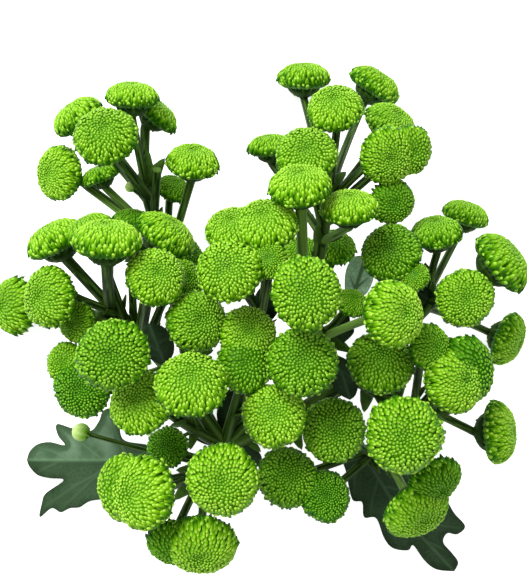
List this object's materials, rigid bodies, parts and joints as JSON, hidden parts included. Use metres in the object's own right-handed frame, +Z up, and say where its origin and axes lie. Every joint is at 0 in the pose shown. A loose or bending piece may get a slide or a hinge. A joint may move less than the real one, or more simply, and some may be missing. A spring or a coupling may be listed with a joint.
{
  "type": "cut pompon chrysanthemum spray",
  "caption": "Cut many-branched pompon chrysanthemum spray: round lime-green blooms of small hooded florets on green stalks, with a few dark lobed leaves, lying on a flat surface.",
  "frame": {"origin": "on the surface that the spray lies on, under the middle of its outline", "axes": "+Z up from the surface, +Y toward the tips of the upper blooms and away from the cut end of the main stem, +X to the right as seen from above"},
  "size_m": [0.2881, 0.2781, 0.1384],
  "materials": {
    "lime_florets": "matte fleshy petals, lime green, darker in the crevices and in the middle of each bloom",
    "green_stems": "ridged green stem, slightly satin",
    "dark_leaves": "dull blue-green leaf with paler veins"
  },
  "bodies": {
    "root": {"bloom_01": "lime_florets", "bloom_02": "lime_florets", "bloom_03": "lime_florets", "bloom_04": "lime_florets", "bloom_05": "lime_florets", "bloom_06": "lime_florets", "bloom_07": "lime_florets", "bloom_08": "lime_florets", "bloom_09": "lime_florets", "bloom_11": "lime_florets", "bloom_13": "lime_florets", "bloom_14": "lime_florets", "bloom_15": "lime_florets", "bloom_16": "lime_florets", "bloom_17": "lime_florets", "bloom_18": "lime_florets", "bloom_19": "lime_florets", "bloom_20": "lime_florets", "bloom_21": "lime_florets", "bloom_23": "lime_florets", "bloom_28": "lime_florets", "bloom_30": "lime_florets", "bloom_31": "lime_florets", "bloom_32": "lime_florets", "bloom_33": "lime_florets", "bloom_34": "lime_florets", "bloom_36": "lime_florets", "bloom_39": "lime_florets", "bloom_40": "lime_florets", "bloom_41": "lime_florets", "bloom_42": "lime_florets", "bloom_43": "lime_florets", "bloom_45": "lime_florets", "bloom_46": "lime_florets", "bloom_47": "lime_florets", "bloom_48": "lime_florets", "bloom_49": "lime_florets", "bloom_50": "lime_florets", "bloom_53": "lime_florets", "bloom_55": "lime_florets", "bloom_57": "lime_florets", "bloom_58": "lime_florets", "bloom_60": "lime_florets", "bloom_61": "lime_florets", "bloom_62": "lime_florets", "bloom_63": "lime_florets", "bloom_64": "lime_florets", "bloom_65": "lime_florets", "bloom_69": "lime_florets", "bloom_70": "lime_florets", "bloom_71": "lime_florets", "bloom_72": "lime_florets", "bloom_74": "lime_florets", "bloom_76": "lime_florets", "leaf_beside_middle": "dark_leaves", "leaf_left": "dark_leaves", "leaf_lower_left": "dark_leaves", "leaf_lower_right": "dark_leaves", "leaf_middle": "dark_leaves", "stems": "green_stems"}
  },
  "joints": []
}
